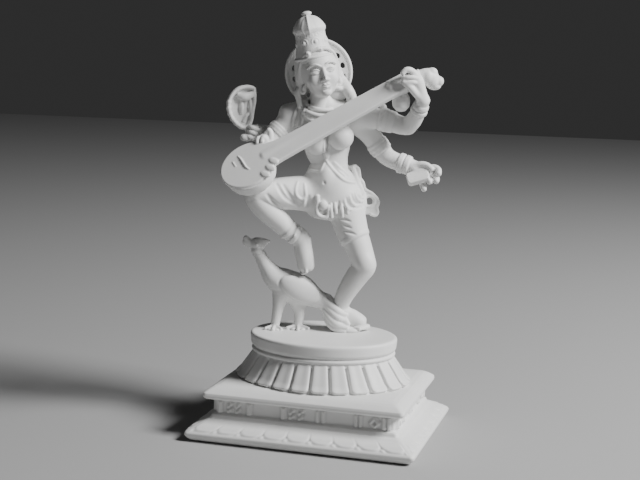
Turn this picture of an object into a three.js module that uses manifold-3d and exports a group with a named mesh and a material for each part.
// A four-armed dancing figure with a lute, standing beside a goose on a lotus pedestal.
// Printed in one piece, so everything below is joined into a single solid.
// Millimetres, +Z up, the origin at the middle of the plinth's underside, the front towards -Y.

import * as THREE from "three";
import { mergeVertices } from "three/addons/utils/BufferGeometryUtils.js";
import Module from "manifold-3d";

const wasm = await Module();
wasm.setup();

// Driving dimensions: the plinth
const PLINTH_WIDTH = 82.6;
const PLINTH_DEPTH = 64.2;
const SLAB_HEIGHT = 3.3; // up to the slab's widest edge
const SLOPE_HEIGHT = 4.1; // from that edge to the top of the petalled slope
const FRIEZE_HEIGHT = 6.6; // from the slope to the underside of the top plate
const PLATE_HEIGHT = 3.0; // the top plate at its edge
const PLATE_RISE = 2.2; // how much the plate climbs towards the lotus
const FRIEZE_INSET = 8.7; // the frieze wall, in from the slab's edge
const PLATE_INSET = 5.0; // the top plate's edge, in from the slab's edge
const CORNER_RADIUS = 1.4;
const SLAB_PETAL_PITCH = 9.8;
const SLAB_PETAL_RELIEF = 0.5;
const PILASTER_WIDTH = 1.5;
const PILASTER_RELIEF = 0.8;

// Driving dimensions: the lotus
const LOTUS_WIDTH = 64.4; // across the petal tips
const LOTUS_HEIGHT = 9.6; // petal tips to the waist above them
const OVAL_RATIO = 0.75; // depth over width of the lotus and its disc
const DISC_WIDTH = 53.9;
const DISC_HEIGHT = 6.6; // waist to the floor that the figure stands on
const LOTUS_PETALS = 24;
const PETAL_RELIEF = 1.1;
const PETAL_SHARE = 0.76; // of the pitch that one petal covers

// Driving dimensions: the figure
const FIGURE_HEIGHT = 114.3; // from the disc's floor to the tip of the crown
const FIGURE_TURN = 16; // degrees that the figure is turned on its pedestal

const TRIANGLE_LIMIT = 10000;

// Heights that follow from the sizes above
const SLOPE_TOP = SLAB_HEIGHT + SLOPE_HEIGHT;
const PLATE_UNDERSIDE = SLOPE_TOP + FRIEZE_HEIGHT;
const PLATE_TOP = PLATE_UNDERSIDE + PLATE_HEIGHT;
const LOTUS_BASE = PLATE_TOP + PLATE_RISE;
const WAIST = LOTUS_BASE + LOTUS_HEIGHT;
const FLOOR = WAIST + DISC_HEIGHT;

// The figure is drawn in its own units, 114.3 of them tall, facing -Y, with z = 0 on the disc
const FIGURE_UNITS = 114.3;
const UNIT = FIGURE_HEIGHT / FIGURE_UNITS;

const UP = new THREE.Vector3(0, 0, 1);
const vector = (p) => new THREE.Vector3(p[0], p[1], p[2]);
const radians = THREE.MathUtils.degToRad;
const lerp = THREE.MathUtils.lerp;

// Solids

/** A closed three.js geometry as a solid that can be joined and cut. */
function solid(geometry) {
  const plain = geometry.index ? geometry.toNonIndexed() : geometry.clone();
  const bare = new THREE.BufferGeometry().setAttribute("position", plain.getAttribute("position"));
  const merged = mergeVertices(bare, 1e-4);
  const triVerts = new Uint32Array(merged.index.array);
  if (signedVolume(merged) < 0) {
    for (let i = 0; i < triVerts.length; i += 3) {
      [triVerts[i + 1], triVerts[i + 2]] = [triVerts[i + 2], triVerts[i + 1]];
    }
  }
  const vertProperties = merged.attributes.position.array;
  return new wasm.Manifold(new wasm.Mesh({ numProp: 3, vertProperties, triVerts }));
}

/** Volume inside an indexed geometry, negative where its faces point inwards. */
function signedVolume(geometry) {
  const position = geometry.attributes.position;
  const index = geometry.index.array;
  const [a, b, c] = [new THREE.Vector3(), new THREE.Vector3(), new THREE.Vector3()];
  let volume = 0;
  for (let i = 0; i < index.length; i += 3) {
    a.fromBufferAttribute(position, index[i]);
    b.fromBufferAttribute(position, index[i + 1]);
    c.fromBufferAttribute(position, index[i + 2]);
    volume += a.dot(b.cross(c)) / 6;
  }
  return volume;
}

const join = (pieces) => pieces.flat(Infinity).reduce((sum, piece) => sum.add(piece));

/** A solid back as a three.js geometry. */
function geometryOf(made) {
  const mesh = made.getMesh();
  const position = new Float32Array(mesh.numVert * 3);
  for (let i = 0; i < mesh.numVert; i += 1) {
    position.set(mesh.vertProperties.subarray(i * mesh.numProp, i * mesh.numProp + 3), i * 3);
  }
  return new THREE.BufferGeometry()
    .setAttribute("position", new THREE.BufferAttribute(position, 3))
    .setIndex(new THREE.BufferAttribute(mesh.triVerts, 1));
}

/** A geometry without the pockets that its joined pieces have closed off inside it. */
function withoutPockets(geometry) {
  const index = geometry.index.array;
  const shell = Array.from({ length: geometry.attributes.position.count }, (_, i) => i);
  const rootOf = (i) => {
    while (shell[i] !== i) {
      shell[i] = shell[shell[i]];
      i = shell[i];
    }
    return i;
  };
  for (let i = 0; i < index.length; i += 3) {
    shell[rootOf(index[i])] = rootOf(index[i + 1]);
    shell[rootOf(index[i + 1])] = rootOf(index[i + 2]);
  }
  const faces = new Map();
  for (let i = 0; i < index.length; i += 3) {
    const root = rootOf(index[i]);
    if (!faces.has(root)) {
      faces.set(root, []);
    }
    faces.get(root).push(index[i], index[i + 1], index[i + 2]);
  }
  const kept = [...faces.values()].filter((list) => {
    const part = new THREE.BufferGeometry().setAttribute("position", geometry.attributes.position);
    return signedVolume(part.setIndex(list)) > 0;
  });
  return geometry.clone().setIndex(kept.flat());
}

/**
 * The same solid with fewer triangles. Joining leaves many short edges, so edges are drawn
 * together, from the least to the most telling, until `limit` triangles are left. What an edge
 * would tell is how far its end would move off the faces that the other end has stood on.
 */
function lightened(geometry, limit) {
  const position = geometry.attributes.position;
  const points = Array.from({ length: position.count }, (_, i) =>
    new THREE.Vector3().fromBufferAttribute(position, i),
  );
  const index = geometry.index.array;
  const faces = Array.from({ length: index.length / 3 }, (_, i) => [...index.slice(3 * i, 3 * i + 3)]);
  const facesAt = points.map(() => new Set());
  const planesAt = points.map(() => new Set());
  faces.forEach((face, id) => {
    const plane = new THREE.Plane().setFromCoplanarPoints(...face.map((i) => points[i]));
    face.forEach((i) => {
      facesAt[i].add(id);
      planesAt[i].add(plane);
    });
  });
  const neighbours = (i) => new Set([...facesAt[i]].flatMap((id) => faces[id]).filter((j) => j !== i));
  const cost = (from, to) => {
    let most = 0;
    for (const plane of planesAt[from]) {
      most = Math.max(most, Math.abs(plane.distanceToPoint(points[to])));
    }
    return most + 0.01 * points[from].distanceTo(points[to]);
  };
  const normalOf = (face) => {
    const [a, b, c] = face.map((i) => points[i]);
    return b.clone().sub(a).cross(c.clone().sub(a));
  };
  const fits = (from, to) => {
    const nextTo = neighbours(to);
    if ([...neighbours(from)].filter((i) => nextTo.has(i)).length !== 2) {
      return false;
    }
    return [...facesAt[from]].every((id) => {
      const face = faces[id];
      if (face.includes(to)) {
        return true;
      }
      const before = normalOf(face);
      const moved = face.map((i) => (i === from ? to : i));
      const after = normalOf(moved);
      const longest = Math.max(...moved.map((i, k) => points[i].distanceTo(points[moved[(k + 1) % 3]])));
      const turned = after.dot(before) < 0.35 * after.length() * before.length();
      return !turned && after.length() / longest > 0.02;
    });
  };
  let left = faces.length;
  for (let reach = 0.004; left > limit && reach < 0.8; reach *= 1.3) {
    const edges = [];
    faces.forEach((face) => {
      if (face) {
        face.forEach((from, k) => {
          const to = face[(k + 1) % 3];
          for (const [a, b] of [[from, to], [to, from]]) {
            const price = cost(a, b);
            if (price < reach) {
              edges.push({ from: a, to: b, price });
            }
          }
        });
      }
    });
    edges.sort((a, b) => a.price - b.price);
    const touched = new Set();
    for (const { from, to } of edges) {
      if (left <= limit) {
        break;
      }
      if (touched.has(from) || touched.has(to) || !fits(from, to)) {
        continue;
      }
      neighbours(from).forEach((i) => touched.add(i));
      touched.add(from);
      for (const id of facesAt[from]) {
        if (faces[id].includes(to)) {
          faces[id].forEach((i) => i !== from && facesAt[i].delete(id));
          faces[id] = null;
          left -= 1;
        } else {
          faces[id] = faces[id].map((i) => (i === from ? to : i));
          facesAt[to].add(id);
        }
      }
      planesAt[from].forEach((plane) => planesAt[to].add(plane));
      facesAt[from] = new Set();
    }
  }
  return geometry.clone().setIndex(faces.filter(Boolean).flat());
}

/** A closed skin through rings of points, with a point at each end. */
function skin(rings, firstTip, lastTip) {
  const sides = rings[0].length;
  const points = [...rings.flat(), firstTip, lastTip];
  const first = points.length - 2;
  const last = points.length - 1;
  const index = [];
  for (let r = 0; r + 1 < rings.length; r += 1) {
    for (let s = 0; s < sides; s += 1) {
      const a = r * sides + s;
      const b = r * sides + ((s + 1) % sides);
      index.push(a, b, a + sides, b, b + sides, a + sides);
    }
  }
  const top = (rings.length - 1) * sides;
  for (let s = 0; s < sides; s += 1) {
    const next = (s + 1) % sides;
    index.push(next, s, first, top + s, top + next, last);
  }
  return new THREE.BufferGeometry().setFromPoints(points).setIndex(index);
}

/**
 * A limb: a rounded bar through stations [x, y, z, half width, half depth]. The width lies along
 * `wide`, as far as the limb's own direction lets it. The ends are domes. Each of the `bands`
 * [place, half length, rise] is a collar round the limb, its place a share of the limb's length.
 */
function limb(stations, { sides = 8, rings = 5, wide = [1, 0, 0], dome = 0.8, domes = 1, bands = [] } = {}) {
  const path = new THREE.CatmullRomCurve3(stations.map(vector), false, "catmullrom", 0.5);
  const sizes = stations.map((s) => new THREE.Vector3(s[3], s[4] ?? s[3], 0));
  const girth = new THREE.CatmullRomCurve3(sizes, false, "catmullrom", 0.5);
  const across = vector(wide).normalize();
  const length = path.getLength();
  const ringAt = (t, shift, shrink, rise = 0) => {
    const along = path.getTangent(t);
    const width = across.clone().addScaledVector(along, -across.dot(along)).normalize();
    const depth = along.clone().cross(width);
    const size = girth.getPoint(t);
    const centre = path.getPoint(t).addScaledVector(along, shift * Math.min(size.x, size.y));
    return Array.from({ length: sides }, (_, s) => {
      const angle = (2 * Math.PI * (s + 0.5)) / sides;
      return centre
        .clone()
        .addScaledVector(width, (size.x * shrink + rise) * Math.cos(angle))
        .addScaledVector(depth, (size.y * shrink + rise) * Math.sin(angle));
    });
  };
  const covered = (t) => bands.some(([place, half]) => Math.abs(t - place) < half / length + 0.02);
  const levels = Array.from({ length: rings }, (_, r) => [r / (rings - 1), 0]).filter(
    ([t]) => t === 0 || t === 1 || !covered(t),
  );
  for (const [place, half, rise] of bands) {
    const reach = half / length;
    levels.push([place - reach, 0], [place - 0.7 * reach, rise]);
    levels.push([place + 0.7 * reach, rise], [place + reach, 0]);
  }
  levels.sort((a, b) => a[0] - b[0]);
  const capAngles = Array.from({ length: domes }, (_, d) => (Math.PI / 2) * ((d + 1) / (domes + 1)));
  const made = [
    ...capAngles.slice().reverse().map((angle) => ringAt(0, -dome * Math.sin(angle), Math.cos(angle))),
    ...levels.map(([t, rise]) => ringAt(t, 0, 1, rise)),
    ...capAngles.map((angle) => ringAt(1, dome * Math.sin(angle), Math.cos(angle))),
  ];
  const tip = (t, way) => {
    const size = girth.getPoint(t);
    const reach = way * dome * Math.min(size.x, size.y);
    return path.getPoint(t).addScaledVector(path.getTangent(t), reach);
  };
  return solid(skin(made, tip(0, -1), tip(1, 1)));
}

/** A ball or egg with its own half sizes, tilted by angles in degrees about X, Y and Z. */
function ball(centre, radii, { sides = 10, rings = 6, tilt = [0, 0, 0] } = {}) {
  const shape = new THREE.SphereGeometry(1, sides, rings);
  const turn = new THREE.Euler(...tilt.map(radians));
  const place = new THREE.Matrix4().compose(
    vector(centre),
    new THREE.Quaternion().setFromEuler(turn),
    vector(radii.length ? radii : [radii, radii, radii]),
  );
  return solid(shape.rotateX(Math.PI / 2).applyMatrix4(place));
}

/** The turn that stands a geometry's own +Z along a direction. */
function along(direction) {
  return new THREE.Quaternion().setFromUnitVectors(UP, vector(direction).normalize());
}

/** A hoop round an axis: bracelets, armlets, necklaces, hems. `oval` widens it along its own X. */
function hoop(centre, axis, radius, thickness, { sides = 4, steps = 12, oval = 1, height = 1 } = {}) {
  const ring = new THREE.TorusGeometry(radius, thickness, sides, steps)
    .scale(oval, 1, height)
    .applyQuaternion(along(axis))
    .translate(...centre);
  return solid(ring);
}

/** A turned shape: profile points [radius, height] from foot to top, both ends on the axis. */
function turned(profile, centre, axis, { steps = 14, squash = 1 } = {}) {
  const points = profile.map(([radius, height]) => new THREE.Vector2(radius, height));
  const shape = new THREE.LatheGeometry(points, steps)
    .rotateX(Math.PI / 2)
    .scale(1, squash, 1)
    .applyQuaternion(along(axis))
    .translate(...centre);
  return solid(shape);
}

/** An outline whose outer edge runs counterclockwise and whose holes run clockwise. */
function wound(outline, curveSegments) {
  const { shape, holes } = outline.extractPoints(curveSegments);
  const turnTo = (points, clockwise) =>
    THREE.ShapeUtils.isClockWise(points) === clockwise ? points : points.slice().reverse();
  const made = new THREE.Shape(turnTo(shape, false));
  made.holes = holes.map((hole) => new THREE.Path(turnTo(hole, true)));
  return made;
}

/** A flat shape of even thickness, its middle plane through the place that the matrix gives. */
function plate(outline, thickness, matrix, curveSegments = 5) {
  const shape = new THREE.ExtrudeGeometry(wound(outline, curveSegments), {
    depth: thickness,
    bevelEnabled: false,
  });
  return solid(shape.translate(0, 0, -thickness / 2).applyMatrix4(matrix));
}

/** The frame with its own X along one direction and its own Z close to another. */
function frameOf(origin, xAxis, zAxis) {
  const x = vector(xAxis).normalize();
  const z = vector(zAxis).addScaledVector(x, -vector(zAxis).dot(x)).normalize();
  return new THREE.Matrix4().makeBasis(x, z.clone().cross(x), z).setPosition(vector(origin));
}

/** A point given in a frame, in the space that the frame stands in. */
const within = (frame, point) => vector(point).applyMatrix4(frame).toArray();

// The plinth

/** A horizontal ring of the plinth: a rectangle with round corners, in from the slab's edge. */
function plinthRing(inset, z) {
  const halfWidth = PLINTH_WIDTH / 2 - inset;
  const halfDepth = PLINTH_DEPTH / 2 - inset;
  const steps = 3;
  return [0, 1, 2, 3].flatMap((corner) => {
    const signX = corner === 0 || corner === 3 ? 1 : -1;
    const signY = corner < 2 ? 1 : -1;
    return Array.from({ length: steps }, (_, s) => {
      const angle = (corner + s / (steps - 1)) * (Math.PI / 2);
      const x = signX * (halfWidth - CORNER_RADIUS) + CORNER_RADIUS * Math.cos(angle);
      const y = signY * (halfDepth - CORNER_RADIUS) + CORNER_RADIUS * Math.sin(angle);
      return new THREE.Vector3(x, y, z);
    });
  });
}

/** A part of the plinth between levels [inset, height], with flat ends. */
function plinthLayer(levels) {
  const rings = levels.map(([inset, z]) => plinthRing(inset, z));
  const foot = new THREE.Vector3(0, 0, levels[0][1]);
  const top = new THREE.Vector3(0, 0, levels[levels.length - 1][1]);
  return solid(skin(rings, foot, top));
}

function plinthBody() {
  const slab = plinthLayer([
    [2.4, 0],
    [0.9, 0.3 * SLAB_HEIGHT],
    [0, 0.8 * SLAB_HEIGHT],
    [0.2, SLAB_HEIGHT + 0.2],
    [1.6, SLAB_HEIGHT + 0.6],
  ]);
  const upper = plinthLayer([
    [FRIEZE_INSET - 1.8, SLAB_HEIGHT + 1.5],
    [FRIEZE_INSET - 1.7, SLOPE_TOP + 0.9],
    [FRIEZE_INSET - 0.3, SLOPE_TOP + 1.6],
    [FRIEZE_INSET, SLOPE_TOP + 2.2],
    [FRIEZE_INSET, PLATE_UNDERSIDE - 0.6],
    [FRIEZE_INSET - 0.5, PLATE_UNDERSIDE],
    [PLATE_INSET + 0.6, PLATE_UNDERSIDE + 0.3],
    [PLATE_INSET, PLATE_UNDERSIDE + 0.4 * PLATE_HEIGHT],
    [PLATE_INSET + 0.2, PLATE_TOP],
    [PLATE_INSET + 7, PLATE_TOP + 0.85 * PLATE_RISE],
    [PLATE_INSET + 13, PLATE_TOP + PLATE_RISE],
  ]);
  return [slab, upper];
}

/** The four sides of the plinth: how long each is, how far out it stands and the way it faces. */
const SIDES = [
  { length: PLINTH_WIDTH, out: PLINTH_DEPTH / 2, turn: 0 },
  { length: PLINTH_DEPTH, out: PLINTH_WIDTH / 2, turn: 90 },
  { length: PLINTH_WIDTH, out: PLINTH_DEPTH / 2, turn: 180 },
  { length: PLINTH_DEPTH, out: PLINTH_WIDTH / 2, turn: 270 },
];

/** The slab's slope as one skin: broad shallow petals side by side, with grooves between them. */
function slabPetals() {
  const low = { inset: 1.2, z: SLAB_HEIGHT - 0.6 };
  const tip = { inset: 1.3, z: SLAB_HEIGHT + 0.9 };
  const high = { inset: FRIEZE_INSET - 2.6, z: SLOPE_TOP };
  const ringAt = ({ inset, z }, relief, spread) =>
    SIDES.flatMap(({ length, out, turn }) => {
      const run = length - 2 * inset;
      const count = Math.round(length / SLAB_PETAL_PITCH);
      return Array.from({ length: count }, (_, i) => {
        const middle = ((i + 0.5) / count - 0.5) * run;
        const half = ((run / count) * spread) / 2;
        return [
          [((i / count) - 0.5) * run, -out + inset + relief * 0.8],
          [middle - half, -out + inset],
          [middle + half, -out + inset],
        ].map(([x, y], k) => {
          const depth = k === 0 ? z - relief : z;
          return new THREE.Vector3(x, y, depth).applyAxisAngle(UP, radians(turn));
        });
      }).flat();
    });
  const rings = [
    ringAt(low, 0, 0.5),
    ringAt(tip, SLAB_PETAL_RELIEF, 0.6),
    ringAt({ inset: lerp(tip.inset, high.inset, 0.4), z: lerp(tip.z, high.z, 0.5) }, SLAB_PETAL_RELIEF, 0.84),
    ringAt(high, SLAB_PETAL_RELIEF * 0.6, 0.84),
  ];
  return solid(skin(rings, new THREE.Vector3(0, 0, low.z), new THREE.Vector3(0, 0, high.z)));
}

/** Pilasters on the frieze wall, with crossed panels and a drop on the two long sides. */
function frieze() {
  const low = SLOPE_TOP + 1.9;
  const high = PLATE_UNDERSIDE + 0.2;
  const tall = high - low;
  return SIDES.map(({ length, out, turn }) => {
    const wall = length - 2 * FRIEZE_INSET;
    const panel = wall * 0.115;
    const spots = [-1, 1].flatMap((side) => [
      side * (wall / 2 - PILASTER_WIDTH * 1.5 - panel),
      side * (panel * 0.62),
    ]);
    const bars = spots.map((x) => ({ x, width: PILASTER_WIDTH, height: tall, lean: 0 }));
    const crossed = [-1, 1].flatMap((side) =>
      [-1, 1].map((way) => ({
        x: side * (wall / 2 - PILASTER_WIDTH - panel / 2),
        width: 0.9,
        height: tall * 1.15,
        lean: way * 45,
      })),
    );
    const spin = new THREE.Matrix4().makeRotationZ(radians(turn));
    return [...bars, ...(turn % 180 === 0 ? crossed : [])].map(({ x, width, height, lean }) =>
      solid(
        new THREE.BoxGeometry(width, 2 * PILASTER_RELIEF, height)
          .rotateY(radians(lean))
          .translate(x, -out + FRIEZE_INSET, (low + high) / 2)
          .applyMatrix4(spin),
      ),
    );
  });
}

// The lotus

/** An oval turned shape about the origin's axis. */
function oval(profile, steps) {
  const points = profile.map(([radius, height]) => new THREE.Vector2(radius, height));
  return solid(new THREE.LatheGeometry(points, steps).rotateX(Math.PI / 2).scale(1, OVAL_RATIO, 1));
}

/** The disc that the figure stands on, with a bead and a groove round its waist. */
function disc() {
  const edge = DISC_WIDTH / 2;
  return oval(
    [
      [0, WAIST - 1],
      [edge - 1.2, WAIST - 1],
      [edge - 0.3, WAIST + 0.5],
      [edge - 1.3, WAIST + 1.6],
      [edge - 0.2, WAIST + 2.6],
      [edge, FLOOR - 1.2],
      [edge - 0.4, FLOOR - 0.2],
      [edge - 1.3, FLOOR],
      [0, FLOOR],
    ],
    36,
  );
}

/** The lotus: one skin of long petals that hang from the waist, with grooves between them. */
function lotus() {
  const tip = LOTUS_WIDTH / 2;
  const root = DISC_WIDTH / 2 - 0.7;
  const rim = new THREE.EllipseCurve(0, 0, tip, tip * OVAL_RATIO);
  const starts = rim.getSpacedPoints(LOTUS_PETALS).slice(0, -1);
  const angles = starts.map((spot) => Math.atan2(spot.y / OVAL_RATIO, spot.x));
  const ringAt = (radius, z, share, relief) =>
    angles.flatMap((angle, i) => {
      const next = i + 1 < angles.length ? angles[i + 1] : angles[0];
      const step = (next - angle + 2 * Math.PI) % (2 * Math.PI);
      const half = share / 2;
      return [0, 0.5 - half, 0.5, 0.5 + half].map((place, k) => {
        const reach = k === 0 ? radius - relief : radius;
        const at = angle + step * place;
        return new THREE.Vector3(reach * Math.cos(at), reach * OVAL_RATIO * Math.sin(at), z);
      });
    });
  const rings = [
    ringAt(tip - 1.6, LOTUS_BASE - 1.5, PETAL_SHARE * 0.5, 0),
    ringAt(tip - 0.35, LOTUS_BASE - 0.2, PETAL_SHARE * 0.6, PETAL_RELIEF * 0.8),
    ringAt(tip, LOTUS_BASE + 1.1, PETAL_SHARE, PETAL_RELIEF * 1.6),
    ringAt(lerp(tip, root, 0.5), lerp(LOTUS_BASE, WAIST, 0.6), PETAL_SHARE, PETAL_RELIEF * 1.3),
    ringAt(root, WAIST - 0.3, PETAL_SHARE, PETAL_RELIEF * 0.8),
  ];
  return solid(
    skin(rings, new THREE.Vector3(0, 0, LOTUS_BASE - 1.5), new THREE.Vector3(0, 0, WAIST - 0.3)),
  );
}

// The figure's body

/** The head's own frame: its middle, leaning a little to the figure's right. */
const HEAD_LEAN = 12;
const HEAD = new THREE.Matrix4()
  .makeRotationY(radians(-HEAD_LEAN))
  .setPosition(-3.4, 2.2, 92.2);

function torso() {
  const trunk = limb(
    [
      [2.4, 4.4, 44.0, 9.0, 6.6],
      [2.0, 4.3, 49.5, 9.3, 7.2],
      [0.4, 4.0, 56.5, 8.4, 6.2],
      [0.6, 4.0, 61.5, 6.2, 4.7],
      [0.0, 4.0, 66.5, 7.4, 5.3],
      [-1.0, 4.3, 72, 9.0, 5.5],
      [-1.9, 4.7, 77.6, 10.2, 4.6],
      [-2.5, 4.6, 81, 6.2, 4.0],
      [-2.7, 4.2, 85.5, 4.2, 3.9],
    ],
    { sides: 14, rings: 13, dome: 0.5 },
  );
  const belly = ball([0.4, 0.2, 54.0], [6.0, 3.4, 5.6], { sides: 10, rings: 6 });
  const breasts = [
    ball([5.2, -0.8, 70.8], [4.2, 4.3, 4.3], { sides: 10, rings: 7 }),
    ball([-4.0, -0.8, 68.2], [4.3, 4.3, 4.3], { sides: 10, rings: 7 }),
  ];
  const shoulders = limb(
    [
      [-14.6, 5.2, 77.6, 4.2, 4.0],
      [-8, 5.2, 79.8, 3.8, 3.8],
      [-2.5, 5, 80.6, 3.6, 3.6],
      [4.5, 5.2, 79.8, 3.8, 3.8],
      [10.6, 5.4, 78.0, 4.2, 4.0],
    ],
    { sides: 8, rings: 6, wide: [0, 0, 1] },
  );
  return [trunk, belly, ...breasts, shoulders];
}

function standingLeg() {
  return [
    limb(
      [
        [6.0, 4.4, 48.5, 7.0, 6.6],
        [8.0, 4.0, 41.6, 6.7, 6.4],
        [10.8, 2.6, 34.5, 5.7, 5.7],
        [13.5, 1.0, 27.6, 4.5, 4.8],
        [13.9, 1.0, 24.0, 4.2, 4.5],
        [11.0, 2.8, 17.3, 3.7, 4.2],
        [7.8, 4.8, 12, 2.6, 3.1],
        [6.5, 5.6, 8.6, 2.7, 2.9],
        [6.1, 6.2, 4.4, 2.9, 3.0],
      ],
      { sides: 10, rings: 13, bands: [[0.2, 0.6, 0.4], [0.28, 0.6, 0.4], [0.36, 0.9, 0.8], [0.93, 0.8, 0.6]] },
    ),
    limb(
      [
        [4.6, 6.6, 2.2, 2.8, 2.3],
        [8.4, 6.4, 3.8, 3.0, 3.0],
        [11.8, 5.8, 2.6, 3.3, 2.4],
        [14.2, 5.2, 1.6, 3.0, 1.8],
      ],
      { sides: 8, rings: 5, wide: [0.12, 0.99, 0] },
    ),
    toes([13.6, 5.4, 1.4], [0.98, -0.2, 0], [0.2, 0.98, 0], 2.7),
  ];
}

/** Five toes side by side, the big toe at the start of the row. */
function toes(middle, forward, across, halfRow) {
  return [0, 1, 2, 3, 4].map((i) => {
    const share = i / 4;
    const size = lerp(1.0, 0.65, share);
    const offset = lerp(halfRow, -halfRow, share) * 0.85;
    const reach = lerp(2.9, 1.7, share);
    const from = vector(middle).addScaledVector(vector(across), offset);
    const to = from.clone().addScaledVector(vector(forward), reach);
    return limb(
      [
        [...from.toArray(), size, size * 0.9],
        [...to.toArray(), size * 0.9, size * 0.8],
      ],
      { sides: 4, rings: 2, wide: across, domes: 0 },
    );
  });
}

function raisedLeg() {
  return [
    limb(
      [
        [0.5, 4.4, 48.5, 6.8, 6.4],
        [-5.6, 3.4, 50.0, 6.6, 6.3],
        [-12, 1.6, 50.4, 6.1, 6.0],
        [-18.4, -0.2, 50.4, 5.6, 5.6],
        [-23.8, -1.2, 50.4, 4.9, 5.1],
        [-24.8, -1.2, 48.6, 4.7, 4.9],
        [-21.2, -0.5, 45.4, 4.6, 5.0],
        [-16.4, 0.9, 41.3, 4.1, 4.6],
        [-12.0, 1.9, 37.7, 3.2, 3.6],
        [-9.4, 2.6, 35.2, 3.1, 3.2],
      ],
      { sides: 10, rings: 14, wide: [0, 0, 1], bands: [[0.2, 0.7, 0.4], [0.27, 0.7, 0.4], [0.34, 0.9, 0.7], [0.9, 1, 0.7]] },
    ),
    limb(
      [
        [-7.6, 3.4, 36.0, 2.4, 2.6],
        [-8.2, 3.2, 31.6, 3.3, 3.4],
        [-7.4, 3.6, 26.4, 3.1, 3.5],
        [-6.6, 4.0, 23.6, 2.6, 3.3],
      ],
      { sides: 8, rings: 5, wide: [1, 0, 0.2] },
    ),
    toes([-6.9, 4.0, 23.6], [0.16, 0.1, -0.98], [0, 1, 0], 2.8),
  ];
}

/** An arm through its joints, each [x, y, z, radius], with collars for armlets and bracelets. */
function arm(joints, bands) {
  return limb(joints, { sides: 7, rings: joints.length + 4, domes: 0, bands });
}

function arms() {
  return [
    // the front arm on the figure's left, up to the lute's neck
    arm(
      [
        [9.8, 5.2, 78.0, 4.3],
        [15, 4.6, 77.6, 4.1],
        [21.5, 3.6, 76.2, 3.9],
        [26.6, 2.4, 75.0, 3.5],
        [30.0, 0.4, 76.8, 3.2],
        [32.0, -2.6, 80.6, 2.9],
        [33.2, -5.2, 84.8, 2.5],
      ],
      [
        [0.33, 0.9, 0.6],
        [0.86, 1.2, 0.7],
      ],
    ),
    // the back arm on the figure's left, held out low with the book
    arm(
      [
        [9.8, 7.4, 75.6, 3.9],
        [14.8, 8.8, 71.6, 3.7],
        [19.0, 9.2, 66.4, 3.5],
        [21.6, 8.6, 63.4, 3.2],
        [25.6, 7.0, 61.9, 2.9],
        [30.2, 5.4, 60.2, 2.3],
      ],
      [
        [0.44, 0.9, 0.6],
        [0.9, 1.1, 0.7],
      ],
    ),
    // the front arm on the figure's right, down to the strings
    arm(
      [
        [-13.6, 5.2, 77.2, 4.4],
        [-16.8, 4.4, 73.8, 4.1],
        [-20.6, 2.8, 69.6, 3.7],
        [-23.2, 0.6, 67.0, 3.2],
        [-22.8, -2.0, 68.2, 2.8],
        [-21.6, -4.2, 70.4, 2.3],
      ],
      [[0.32, 0.9, 0.6]],
    ),
    // the back arm on the figure's right, raised with the rosary
    arm(
      [
        [-13.4, 7.4, 76.6, 3.9],
        [-16.8, 9.4, 72.6, 3.6],
        [-19.6, 10.6, 68.6, 3.3],
        [-22.0, 10.0, 68.4, 2.9],
        [-24.0, 9.2, 70.4, 2.5],
        [-25.6, 9.0, 72.2, 2.1],
      ],
      [],
    ),
  ];
}

// Hands

/**
 * A hand: a palm from the wrist and four fingers that curl towards the palm's side, with a thumb.
 * `reach` points along the fingers, `palm` out of the palm, and `side` tells the thumb's side.
 */
function hand(wrist, reach, palm, side, { curl = 50, size = 1 } = {}) {
  const frame = frameOf(wrist, reach, palm);
  const at = (x, y, z) => within(frame, [x * size, y * side * size, z * size]);
  const palmWidth = new THREE.Vector3(0, 1, 0).transformDirection(frame).toArray();
  const pieces = [
    limb(
      [
        [...at(-0.6, 0, 0), 1.7 * size, 1.4 * size],
        [...at(2.2, 0, 0.1), 2.5 * size, 1.2 * size],
        [...at(4.4, 0, 0.3), 2.4 * size, 1.0 * size],
      ],
      { sides: 6, rings: 3, wide: palmWidth, domes: 0 },
    ),
  ];
  for (let i = 0; i < 4; i += 1) {
    const y = 1.8 - i * 1.2;
    const length = [2.3, 2.6, 2.4, 1.9][i];
    const bend = radians(curl + i * 5);
    const [x1, z1] = [4.2 + length * Math.cos(bend * 0.5), 0.4 + length * Math.sin(bend * 0.5)];
    const [x2, z2] = [x1 + length * 0.85 * Math.cos(bend * 1.5), z1 + length * 0.85 * Math.sin(bend * 1.5)];
    pieces.push(
      limb(
        [
          [...at(4.0, y, 0.3), 0.78 * size],
          [...at(x1, y * 1.05, z1), 0.72 * size],
          [...at(x2, y * 1.02, z2), 0.58 * size],
        ],
        { sides: 4, rings: 3, wide: palmWidth, domes: 0 },
      ),
    );
  }
  pieces.push(
    limb(
      [
        [...at(0.8, 1.4, 0.3), 1.0 * size],
        [...at(2.4, 2.7, 1.2), 0.85 * size],
        [...at(4.3, 2.9, 2.2), 0.65 * size],
      ],
      { sides: 4, rings: 3, wide: palmWidth, domes: 0 },
    ),
  );
  return pieces;
}

function hands() {
  return [
    hand([33.2, -5.2, 84.8], [-0.4, -0.52, 0.76], [-0.3, 0.8, 0.35], -1, { curl: 42, size: 1.4 }),
    hand([30.2, 5.4, 60.0], [0.96, -0.14, -0.12], [0, -0.8, -0.5], 1, { curl: 70 }),
    hand([-21.6, -4.2, 70.4], [0.28, -0.62, 0.55], [0.2, -0.6, -0.7], -1, { curl: 66, size: 0.9 }),
    hand([-25.6, 9.0, 72.2], [-0.8, -0.4, 0.1], [-0.1, -0.7, 0.5], -1, { curl: 70, size: 0.85 }),
  ];
}

// Head, crown and halo

const inHead = (point) => within(HEAD, point);
const HALO_HOLES = 14;
const ROSARY_BEADS = 20;
const CROWN_AXIS = new THREE.Vector3(0, 0, 1).transformDirection(HEAD).toArray();

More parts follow.
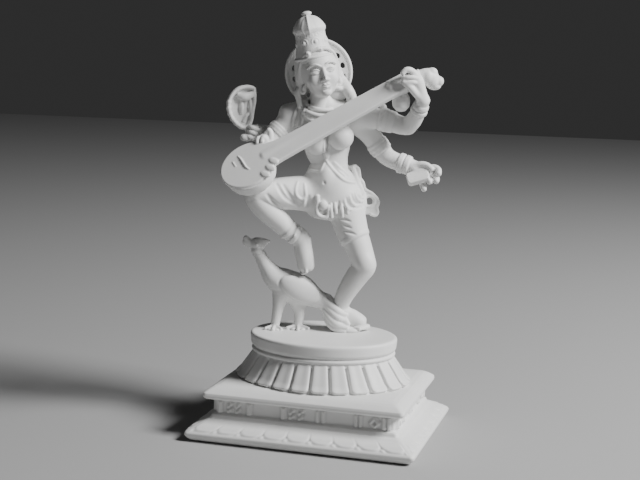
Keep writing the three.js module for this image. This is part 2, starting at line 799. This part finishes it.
function head() {
  const tilt = [0, -HEAD_LEAN, 0];
  const skull = ball(inHead([0, 0.4, 0.6]), [6.5, 7.0, 7.8], { sides: 12, rings: 8, tilt });
  const jaw = ball(inHead([0, -2.0, -4.2]), [4.6, 4.4, 4.0], { sides: 10, rings: 6, tilt });
  const nose = limb(
    [
      [...inHead([0, -5.9, 1.4]), 0.6, 0.6],
      [...inHead([0, -7.2, -1.6]), 0.95, 0.9],
    ],
    { sides: 6, rings: 2 },
  );
  const eyes = [-1, 1].map((side) =>
    ball(inHead([side * 2.4, -5.5, 0.4]), [1.5, 0.9, 0.75], { sides: 6, rings: 3, tilt }),
  );
  const lips = ball(inHead([0, -6.1, -3.5]), [1.6, 0.75, 0.65], { sides: 6, rings: 3, tilt });
  const earrings = [-1, 1].map((side) =>
    hoop(inHead([side * 6.4, 0.6, -5.0]), [0.5, side * 0.4, 0], 1.8, 0.9, { sides: 4, steps: 8 }),
  );
  const ears = [-1, 1].map((side) =>
    ball(inHead([side * 6.1, 0.8, -1.6]), [0.9, 1.5, 2.6], { sides: 6, rings: 4, tilt }),
  );
  return [skull, jaw, nose, ...eyes, lips, ...ears, ...earrings];
}

/** Curls that frame the face from one ear over the brow to the other, as one beaded string. */
function curls() {
  const count = 11;
  const steps = 2 * count;
  const stations = Array.from({ length: steps + 1 }, (_, i) => {
    const angle = radians(lerp(-105, 105, i / steps));
    const size = i % 2 ? 1.25 : 0.8;
    return [
      ...inHead([6.7 * Math.sin(angle), -2.2 - 3.0 * Math.cos(angle), 0.6 + 5.6 * Math.cos(angle)]),
      size,
    ];
  });
  return limb(stations, { sides: 5, rings: steps + 1, wide: [0, 1, 0], domes: 0 });
}

function crown() {
  const cap = turned(
    [
      [0, 2.0],
      [6.6, 2.0],
      [6.7, 6.2],
      [7.2, 6.6],
      [7.0, 8.0],
      [6.0, 8.4],
      [5.9, 10.0],
      [5.3, 10.6],
      [5.1, 13.2],
      [5.8, 14.4],
      [5.6, 16.4],
      [4.3, 18.8],
      [2.0, 20.6],
      [1.3, 21.1],
      [1.9, 21.8],
      [1.3, 22.6],
      [0, 22.8],
    ],
    inHead([-0.5, 0.8, 0]),
    CROWN_AXIS,
    { steps: 14 },
  );
  return [cap, crownLeaves(), ball(inHead([0, -4.9, 10.2]), [0.9, 0.9, 1.1], { sides: 6, rings: 4 })];
}

/** Pointed leaves standing round the crown's dome. */
function crownLeaves() {
  const count = 8;
  return Array.from({ length: count }, (_, i) => {
    const angle = (2 * Math.PI * i) / count - Math.PI / 2;
    const at = (radius, z) =>
      inHead([-0.5 + radius * Math.cos(angle), 0.8 + radius * Math.sin(angle), z]);
    const across = [-Math.sin(angle), Math.cos(angle), 0];
    return limb(
      [
        [...at(4.9, 12.6), 1.4, 0.6],
        [...at(5.3, 15.2), 1.9, 0.7],
        [...at(3.7, 19.0), 0.6, 0.5],
      ],
      { sides: 4, rings: 3, wide: across, domes: 0 },
    );
  });
}

/** A wheel behind the head: a thick rim, and holes all round between short spokes. */
function halo() {
  const radius = 12.2;
  const profile = [
    [0, 0],
    [radius - 1.6, 0],
    [radius - 1.0, -0.5],
    [radius, 0.8],
    [radius - 1.0, 2.3],
    [radius - 1.6, 1.7],
    [0, 1.7],
  ].map(([r, z]) => new THREE.Vector2(r, z));
  const place = HEAD.clone().multiply(
    new THREE.Matrix4().makeRotationX(Math.PI / 2).setPosition(-0.2, 8.6, 0.9),
  );
  const wheel = new THREE.LatheGeometry(profile, 28).rotateX(Math.PI / 2).applyMatrix4(place);
  const cutters = Array.from({ length: HALO_HOLES }, (_, i) => {
    const angle = (2 * Math.PI * (i + 0.5)) / HALO_HOLES;
    return solid(
      new THREE.CylinderGeometry(1, 1, 8, 7)
        .scale(1.6, 1, 1.1)
        .rotateX(Math.PI / 2)
        .translate(9.1, 0, 0.8)
        .rotateZ(angle)
        .applyMatrix4(place),
    );
  });
  const hub = ball(inHead([0, 6.8, 0.8]), [5.6, 3.0, 6.2], { sides: 8, rings: 5 });
  return [solid(wheel).subtract(join(cutters)), hub];
}

// Dress and jewellery

/** Two broad bands of necklace. */
function necklaces() {
  return [
    hoop([-2.6, 3.4, 81.2], [0.1, 0.34, 1], 5.0, 0.75, { sides: 4, steps: 14 }),
    hoop([-2.4, 2.8, 79.4], [0.1, 0.42, 1], 6.5, 0.8, { sides: 4, steps: 16 }),
  ];
}

/** The cord that runs down between the breasts and parts over the belly. */
function bodyCord() {
  const strand = (points) => limb(points.map((p) => [...p, 0.7]), { sides: 4, rings: points.length + 2, domes: 0 });
  return [
    strand([
      [0.2, -0.4, 72.5],
      [-0.6, -1.4, 66.2],
      [-0.5, -1.5, 61.6],
      [2.2, -2.4, 57.4],
      [6.0, -0.6, 54.2],
      [8.2, 2.6, 53.4],
    ]),
    strand([
      [-0.5, -1.4, 61.8],
      [-2.2, -1.7, 59.4],
      [-4.6, -0.2, 57.8],
      [-6.4, 2.8, 57.4],
    ]),
  ];
}

/** Short trousers, shown by their hems and the girdle. */
function girdle() {
  const belt = [
    [-6.9, 1.2, 50.6],
    [-4.0, -2.8, 48.3],
    [1.0, -3.6, 46.9],
    [6.6, -2.6, 46.3],
    [11.6, 0.6, 46.8],
    [13.8, 4.6, 48.6],
    [11.6, 9.0, 50.0],
    [3.5, 11.0, 50.6],
    [-4.0, 9.4, 51.0],
  ];
  const closed = new THREE.CatmullRomCurve3(belt.map(vector), true);
  const round = new THREE.Shape().absellipse(0, 0, 0.8, 0.8, 0, 2 * Math.PI);
  const beltSolid = solid(
    new THREE.ExtrudeGeometry(round, { steps: 18, extrudePath: closed, curveSegments: 2, bevelEnabled: false }),
  );
  return beltSolid;
}

/** The girdle's fringe: a looped sash end, long drops and two swags over the standing thigh. */
function fringe() {
  const loop = limb(
    [
      [-4.8, -2.6, 49.6, 0.8],
      [-5.1, -3.3, 45.0, 0.9],
      [-3.0, -3.5, 42.4, 0.9],
      [-0.6, -3.6, 44.2, 0.9],
      [-0.2, -3.2, 48.2, 0.8],
    ],
    { sides: 5, rings: 7, domes: 0 },
  );
  const web = ball([-2.6, -2.6, 46.2], [2.4, 1.5, 3.6], { sides: 6, rings: 4 });
  const drops = [
    [1.7, -3.3, 43.6],
    [3.9, -3.2, 43.0],
    [6.1, -2.8, 42.4],
  ].map(([x, y, z]) =>
    limb(
      [
        [x - 0.3, y, z + 4.4, 0.7],
        [x, y - 0.4, z, 0.9],
      ],
      { sides: 5, rings: 2, domes: 0 },
    ),
  );
  const swags = [0, 1].map((i) =>
    limb(
      [
        [6.4 + i * 1.4, -2.7 - i * 0.1, 46.6, 0.6],
        [7.4 + i * 1.2, -2.9, 43.4 + i * 1.2, 0.7],
        [10.0, -1.9, 42.0 + i * 1.6, 0.7],
        [12.4 - i * 1.0, 0.0, 43.4 + i * 1.3, 0.6],
      ],
      { sides: 4, rings: 5, domes: 0 },
    ),
  );
  return [loop, web, ...drops, ...swags];
}

/** The sash knotted at the figure's left hip: a waved ribbon above and a loop below. */
function sash() {
  const outline = new THREE.Shape();
  outline.moveTo(-2, 10.4);
  outline.quadraticCurveTo(0.4, 11.8, 2.2, 11.2);
  outline.quadraticCurveTo(3.8, 10.4, 3.7, 7.6);
  outline.quadraticCurveTo(4.2, 5.8, 5.6, 4.4);
  outline.lineTo(5.8, 2.8);
  outline.quadraticCurveTo(10.6, 0.8, 11.0, -3.4);
  outline.quadraticCurveTo(10.9, -4.8, 10.6, -5.2);
  outline.quadraticCurveTo(11.4, -7.8, 9.8, -8.2);
  outline.lineTo(5.4, -7.2);
  outline.lineTo(-2, -6.4);
  outline.holes.push(new THREE.Path().absellipse(7.6, -2.5, 1.5, 1.0, 0, 2 * Math.PI, true, -0.75));
  const place = frameOf([8.0, 7.0, 48.8], [1, 0.12, 0], [-0.12, -1, 0.1]);
  const ribbon = plate(outline, 2.2, place);
  const fold = new THREE.Shape();
  fold.moveTo(-1, 9.6);
  fold.lineTo(1.0, 9.8);
  fold.quadraticCurveTo(2.0, 6.2, 3.4, 3.2);
  fold.lineTo(5.4, 2.6);
  fold.lineTo(6.2, -0.6);
  fold.lineTo(4.4, -6.2);
  fold.lineTo(-1, -5.6);
  return [ribbon, plate(fold, 4.2, place)];
}

// What the hands hold

/** The lute: a flat face that runs from the bowl up the neck, a round back and a carved head. */
const LUTE = frameOf([-27.3, -9.5, 61.5], [41.7, 2.6, 23.3], [-0.2, -0.8, 0.58]);
const NECK_LENGTH = 62;

function lute() {
  const face = new THREE.Shape();
  const turn = Math.asin(4.8 / 8.0);
  face.moveTo(NECK_LENGTH, 2.9);
  face.lineTo(12.5, 3.6);
  face.quadraticCurveTo(8.8, 4.2, 7.6, 4.8);
  face.absellipse(0, 0, 9.9, 8.0, turn, 2 * Math.PI - turn, false);
  face.quadraticCurveTo(8.8, -4.2, 12.5, -3.6);
  face.lineTo(NECK_LENGTH, -2.9);
  const board = plate(face, 2.4, LUTE.clone().multiply(new THREE.Matrix4().setPosition(0, 0, -1.2)), 9);
  const bowlFrame = LUTE.clone().multiply(new THREE.Matrix4().makeScale(1.12, 1, 1));
  const bowl = new THREE.SphereGeometry(8.3, 12, 7).translate(-0.7, -1.0, -2.6).applyMatrix4(bowlFrame);
  const cutter = new THREE.BoxGeometry(40, 40, 20).translate(0, 0, 9.2).applyMatrix4(LUTE);
  const at = (x, y, z) => within(LUTE, [x, y, z]);
  const back = limb(
    [
      [...at(6, 0.2, -2.4), 2.9, 2.6],
      [...at(30, 0.3, -2.4), 2.5, 1.7],
      [...at(NECK_LENGTH - 4, 0.2, -2.2), 2.2, 1.6],
    ],
    { sides: 7, rings: 3, wide: [0.35, 0, -1], domes: 0 },
  );
  return [board, solid(bowl).subtract(solid(cutter)), back, luteFittings(at)];
}

function luteFittings(at) {
  const bridge = limb(
    [
      [...at(-4.6, -1.4, 0.2), 0.6, 0.7],
      [...at(-0.8, 2.6, 0.2), 0.6, 0.7],
    ],
    { sides: 4, rings: 2, domes: 0 },
  );
  const gourd = ball([25.7, -3.5, 83.4], [3.2, 3.2, 3.7], { sides: 9, rings: 6 });
  const stem = limb([[25.7, -3.6, 86, 1.6], [25.6, -4.2, 90, 1.1]], { sides: 6, rings: 2 });
  const scroll = limb(
    [
      [...at(NECK_LENGTH - 6, 0, -1.4), 2.9, 2.0],
      [32.0, -4.8, 92.6, 3.0, 2.4],
      [35.4, -4.3, 92.6, 3.4, 2.8],
      [36.6, -4.1, 90.6, 2.9, 2.6],
    ],
    { sides: 7, rings: 5, wide: [0.3, 0, -0.9] },
  );
  const snout = ball([38.8, -4.0, 90.4], [1.9, 1.8, 1.9], { sides: 6, rings: 4 });
  const brow = ball([34.4, -4.4, 94.8], [2.3, 2.0, 1.6], { sides: 6, rings: 4 });
  return [bridge, gourd, stem, scroll, snout, brow];
}

/** A book of palm leaves between two boards. */
function book() {
  const place = frameOf([34.2, 3.2, 57.9], [11.2, 0, 3.3], [-0.1, -0.62, 0.78]);
  return solid(new THREE.BoxGeometry(9.8, 4.8, 2.6).applyMatrix4(place));
}

/** The rosary: a long loop of beads with a thin web inside it. */
function rosary() {
  const place = frameOf([-30.9, 6.6, 80.2], [0.97, 0.24, 0.0], [0.24, -0.97, 0]);
  const loop = new THREE.Shape();
  loop.moveTo(4.2, 7.4);
  loop.quadraticCurveTo(-1.6, 9.4, -4.4, 4.0);
  loop.quadraticCurveTo(-6.6, -3.4, -1.2, -7.4);
  loop.quadraticCurveTo(1.0, -9.2, 2.2, -7.4);
  loop.quadraticCurveTo(4.8, -1.0, 4.2, 7.4);
  const line = loop.getSpacedPoints(ROSARY_BEADS * 2).slice(1);
  const middle = new THREE.Vector2(-0.6, 0);
  const edge = line.map((p, i) => p.clone().sub(middle).multiplyScalar(i % 2 ? 1.06 : 0.96).add(middle));
  const inner = line.map((p) => p.clone().sub(middle).multiplyScalar(0.72).add(middle));
  const rim = new THREE.Shape(edge);
  rim.holes.push(new THREE.Path(inner.filter((_, i) => i % 2)));
  const web = new THREE.Shape(inner.filter((_, i) => i % 2).map((p) => p.clone().multiplyScalar(1.08)));
  return [plate(rim, 2.2, place), plate(web, 1.0, place)];
}

// The goose

function goose() {
  const body = limb(
    [
      [-23.2, 5.4, 29.0, 2.7, 2.6],
      [-22.6, 5.5, 26.4, 2.5, 2.6],
      [-20.6, 5.8, 22.4, 3.0, 3.0],
      [-17.2, 6.2, 18.6, 4.2, 4.2],
      [-12.8, 6.8, 16.4, 5.2, 5.2],
      [-6.6, 7.3, 14.2, 5.1, 5.3],
      [-1.6, 7.4, 11.8, 3.8, 4.4],
      [2.6, 6.8, 9.0, 2.8, 3.6],
    ],
    { sides: 10, rings: 11, wide: [0.6, 0, 1] },
  );
  const headBall = ball([-23.9, 5.3, 31.2], [3.4, 2.7, 2.4], { sides: 8, rings: 6, tilt: [0, 8, 0] });
  const beak = limb(
    [
      [-25.8, 5.3, 31.4, 1.5, 1.7],
      [-29.0, 5.2, 32.8, 1.5, 1.4],
    ],
    { sides: 6, rings: 2, domes: 0 },
  );
  const crest = limb(
    [
      [-23.2, 5.3, 32.0, 1.9, 1.5],
      [-20.0, 5.3, 32.2, 0.4, 0.5],
    ],
    { sides: 4, rings: 2, wide: [0, 0, 1], domes: 0 },
  );
  const wings = [-1, 1].map((side) =>
    ball([-8.4, 7.1 + side * 4.6, 14.8], [8.0, 1.9, 3.7], { sides: 10, rings: 6, tilt: [0, 27, -side * 5] }),
  );
  const tail = limb(
    [
      [0.6, 7.0, 10.6, 3.4, 3.2],
      [3.2, 5.8, 7.2, 4.2, 2.3],
      [5.0, 4.4, 3.6, 4.6, 1.8],
      [7.4, 3.2, 0.2, 3.6, 1.2],
    ],
    { sides: 8, rings: 6, wide: [0.8, -0.6, 0.6] },
  );
  return [body, headBall, beak, crest, ...wings, tail, gooseLegs()];
}

function gooseLegs() {
  const leg = (hip, hock, foot) => [
    limb([[...hip, 3.0], [...hock, 1.7], [...foot, 1.7]], { sides: 6, rings: 3, domes: 0 }),
    ...[-38, 0, 38].map((spread) => {
      const angle = radians(spread - 70);
      return limb(
        [
          [foot[0], foot[1], 0.5, 1.5, 1.1],
          [foot[0] + 4.2 * Math.cos(angle), foot[1] + 4.2 * Math.sin(angle), 0.2, 1.0, 0.8],
        ],
        { sides: 4, rings: 2, wide: [0, 0, 1], domes: 0 },
      );
    }),
  ];
  return [
    leg([-15.8, 6.2, 13.4], [-18.4, 6.0, 7.4], [-20.4, 6.0, 1.0]),
    leg([-10.6, 7.2, 11.6], [-9.2, 7.5, 5.8], [-9.4, 7.2, 1.0]),
  ];
}

// Everything together

const pedestal = [...plinthBody(), slabPetals(), frieze(), lotus(), disc()];
const figure = [
  torso(), standingLeg(), raisedLeg(), arms(), hands(),
  head(), curls(), crown(), halo(),
  necklaces(), bodyCord(), girdle(), fringe(), sash(),
  lute(), book(), rosary(), goose(),
];
const stand = new THREE.Matrix4()
  .makeTranslation(0, 0, FLOOR)
  .multiply(new THREE.Matrix4().makeRotationZ(radians(FIGURE_TURN)))
  .multiply(new THREE.Matrix4().makeScale(UNIT, UNIT, UNIT));
const figureGeometry = geometryOf(join(figure)).applyMatrix4(stand);
const statuette = join([...pedestal, solid(figureGeometry)]);

const nylon = new THREE.MeshStandardMaterial({ color: 0xd9d9d7, roughness: 0.62, metalness: 0 });
const outside = withoutPockets(geometryOf(statuette));
const mesh = new THREE.Mesh(lightened(outside, TRIANGLE_LIMIT), nylon);
mesh.name = "saraswati_statuette";

const part = new THREE.Group();
part.add(mesh);

export default part;
